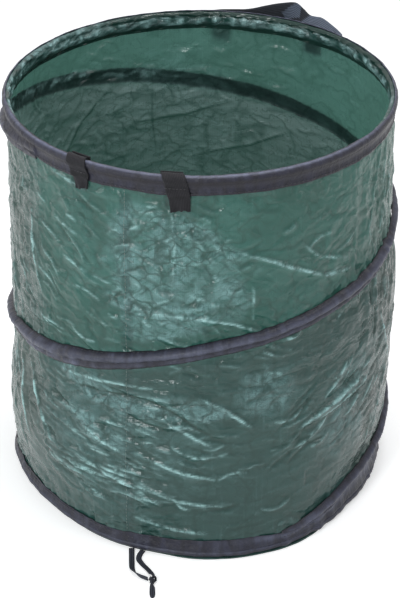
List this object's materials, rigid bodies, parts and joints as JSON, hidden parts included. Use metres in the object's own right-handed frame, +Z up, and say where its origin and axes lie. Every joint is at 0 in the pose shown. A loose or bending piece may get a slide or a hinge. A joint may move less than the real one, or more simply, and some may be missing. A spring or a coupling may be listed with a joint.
{
  "type": "pop up leaf bag",
  "caption": "Round open-topped cloth bag that a spring wire spiral pops upright and that presses flat, with a webbing handle each side of the rim and ribbon ties at the base.",
  "frame": {"origin": "centre of the base panel's underside, on the ground", "axes": "+Z up through the open mouth; -Y is the front, on the side of the wall's seam and of the handle that hangs inside; +X to the right seen from the front"},
  "size_m": [0.4692, 0.6302, 0.5075],
  "materials": {
    "green_cloth": "woven plastic cloth with a soft shine",
    "base_cloth": "woven plastic cloth",
    "hem_cloth": "shiny crinkled plastic cloth",
    "dark_tape": "satin binding tape",
    "webbing": "ribbed webbing",
    "tie_ribbon": "ribbed ribbon",
    "spring_steel": "bare spring wire",
    "ferrule_steel": "plated"
  },
  "bodies": {
    "base": {"base_panel": "base_cloth", "base_sleeve": "dark_tape", "base_hoop_wire": "spring_steel", "base_hoop_ferrule": "ferrule_steel", "wall_panel": "green_cloth", "wall_seam_fold": "green_cloth", "spiral_sleeve": "dark_tape", "spiral_wire": "spring_steel", "front_tie_anchor": "tie_ribbon", "front_tie_left_strand": "tie_ribbon", "front_tie_right_strand": "tie_ribbon", "front_tie_knot": "tie_ribbon", "front_tie_tail": "tie_ribbon", "back_tie_anchor": "tie_ribbon", "back_tie_left_strand": "tie_ribbon", "back_tie_right_strand": "tie_ribbon", "back_tie_knot": "tie_ribbon", "back_tie_tail": "tie_ribbon"},
    "rim": {"rim_hem": "hem_cloth", "rim_sleeve": "dark_tape", "rim_hoop_wire": "spring_steel", "rim_hoop_ferrule": "ferrule_steel", "front_handle_left_end": "webbing", "front_handle_right_end": "webbing", "back_handle_left_end": "webbing", "back_handle_right_end": "webbing"},
    "front_handle": {"front_handle_strap": "webbing"},
    "back_handle": {"back_handle_strap": "webbing"}
  },
  "joints": [
    {"name": "collapse", "type": "slide", "parent": "base", "child": "rim", "axis": [0, 0, 1], "range_m": [-0.425, 0], "stiffness_N_per_m": 40, "springref_m": 0.15, "deforming": ["wall_panel", "wall_seam_fold", "spiral_sleeve", "spiral_wire", "front_handle_strap"]},
    {"name": "front_handle_swing", "type": "hinge", "parent": "rim", "child": "front_handle", "pos_m": [-0.075, -0.1904, 0.49175], "axis": [0.9304, -0.3665, 0], "range_deg": [0, 210]},
    {"name": "back_handle_swing", "type": "hinge", "parent": "rim", "child": "back_handle", "pos_m": [0.08209, 0.2084, 0.49138], "axis": [0.9304, -0.3665, 0], "range_deg": [-30, 90]}
  ]
}
